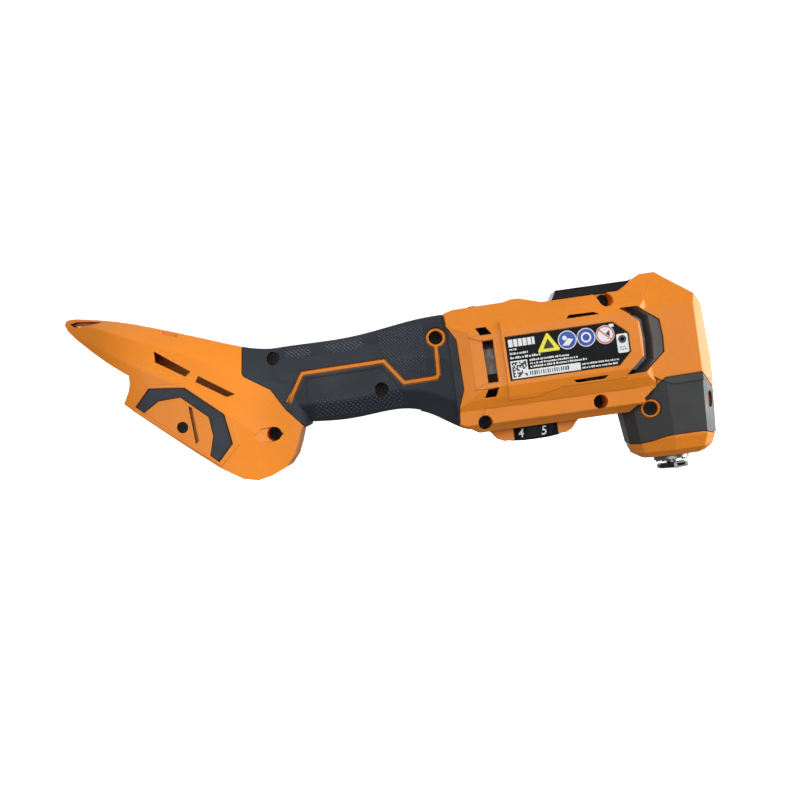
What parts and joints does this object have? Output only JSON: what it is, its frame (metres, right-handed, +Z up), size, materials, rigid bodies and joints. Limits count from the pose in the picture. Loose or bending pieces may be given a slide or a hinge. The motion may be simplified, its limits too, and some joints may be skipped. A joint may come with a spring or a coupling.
{
  "type": "oscillating multi-tool",
  "caption": "Cordless oscillating multi-tool body with an angled battery foot, soft grip, speed dial, right-angle head and lever-released accessory clamp; no battery.",
  "frame": {"origin": "on the spindle axis at the accessory seat, the lower face of the output flange", "axes": "+X along the body towards the front of the head, +Z up along the spindle towards the release lever, -Y is the side the housing screws go in"},
  "size_m": [0.3394, 0.0754, 0.124],
  "materials": {
    "housing_plastic": "fine moulded grain",
    "soft_grip": "matt with fine knurl",
    "head_cover": "blasted, matt",
    "vent_plastic": "matt",
    "plate_film": "printed film",
    "black_plastic": "satin",
    "steel": "ground",
    "dark_steel": "black oxide",
    "bearing_steel": "polished",
    "cast_alloy": "as cast",
    "lamination": "stacked laminations",
    "copper": "enamelled wire",
    "contact_metal": "plated",
    "board": "solder mask",
    "capacitor_can": "sleeved",
    "wire_red": "insulation",
    "wire_black": "insulation",
    "seal_rubber": "matt"
  },
  "bodies": {
    "tool": {"right_housing": "housing_plastic", "left_housing": "housing_plastic", "right_grip_overmould": "soft_grip", "left_grip_overmould": "soft_grip", "right_foot_bumper": "soft_grip", "left_foot_bumper": "soft_grip", "right_head_overmould": "head_cover", "left_head_overmould": "head_cover", "right_vent_scoop": "vent_plastic", "left_vent_scoop": "vent_plastic", "rating_plate": "plate_film", "switch_module": "black_plastic", "dial_potentiometer": "black_plastic", "terminal_block": "black_plastic", "lever_pin": "steel", "right_rail": "steel", "left_rail": "steel", "housing_screws": "dark_steel", "foot_screws": "dark_steel", "gear_plate_screws": "dark_steel", "upper_spindle_bearing": "bearing_steel", "lower_spindle_bearing": "bearing_steel", "rear_motor_bearing": "bearing_steel", "front_motor_bearing": "bearing_steel", "gear_housing": "cast_alloy", "rear_bell": "cast_alloy", "board_heatsink": "cast_alloy", "stator_core": "lamination", "stator_windings": "copper", "terminal_blades": "contact_metal", "control_board": "board", "board_capacitors": "capacitor_can", "battery_leads": "wire_red", "motor_leads": "wire_black", "dust_seal": "seal_rubber"},
    "lever": {"release_lever": "black_plastic"},
    "spindle": {"spindle": "steel", "spindle_fork": "steel", "output_flange": "steel", "clamp_spring": "steel"},
    "clamp": {"clamp_rod": "steel", "clamp_foot": "dark_steel", "clamp_arms": "steel"},
    "rotor": {"motor_shaft": "steel", "rotor": "lamination", "cooling_fan": "black_plastic", "counterweight": "dark_steel", "eccentric_bearing": "bearing_steel"},
    "dial": {"speed_dial": "black_plastic"},
    "power_button": {"power_slide": "black_plastic", "slide_link": "black_plastic"}
  },
  "joints": [
    {"name": "lever_swing", "type": "hinge", "parent": "tool", "child": "lever", "pos_m": [0, 0, 0.09], "axis": [0, 1, 0], "range_deg": [0, 110]},
    {"name": "spindle_oscillation", "type": "hinge", "parent": "tool", "child": "spindle", "pos_m": [0, 0, 0], "axis": [0, 0, 1], "range_deg": [-2, 2]},
    {"name": "clamp_slide", "type": "slide", "parent": "spindle", "child": "clamp", "axis": [0, 0, -1], "range_m": [0, 0.004], "deforming": ["clamp_spring"]},
    {"name": "rotor_spin", "type": "hinge", "parent": "tool", "child": "rotor", "pos_m": [-0.07, 0, 0.0646], "axis": [1, 0, 0], "continuous": true},
    {"name": "dial_turn", "type": "hinge", "parent": "tool", "child": "dial", "pos_m": [-0.0716, 0, 0.025], "axis": [0, 0, 1], "range_deg": [-66, 184]},
    {"name": "power_slide_travel", "type": "slide", "parent": "tool", "child": "power_button", "axis": [1, 0, 0], "range_m": [0, 0.006]}
  ],
  "couplings": [
    {"joint": "lever_swing", "follows": "clamp_slide", "rad_per_m": 479.9}
  ]
}
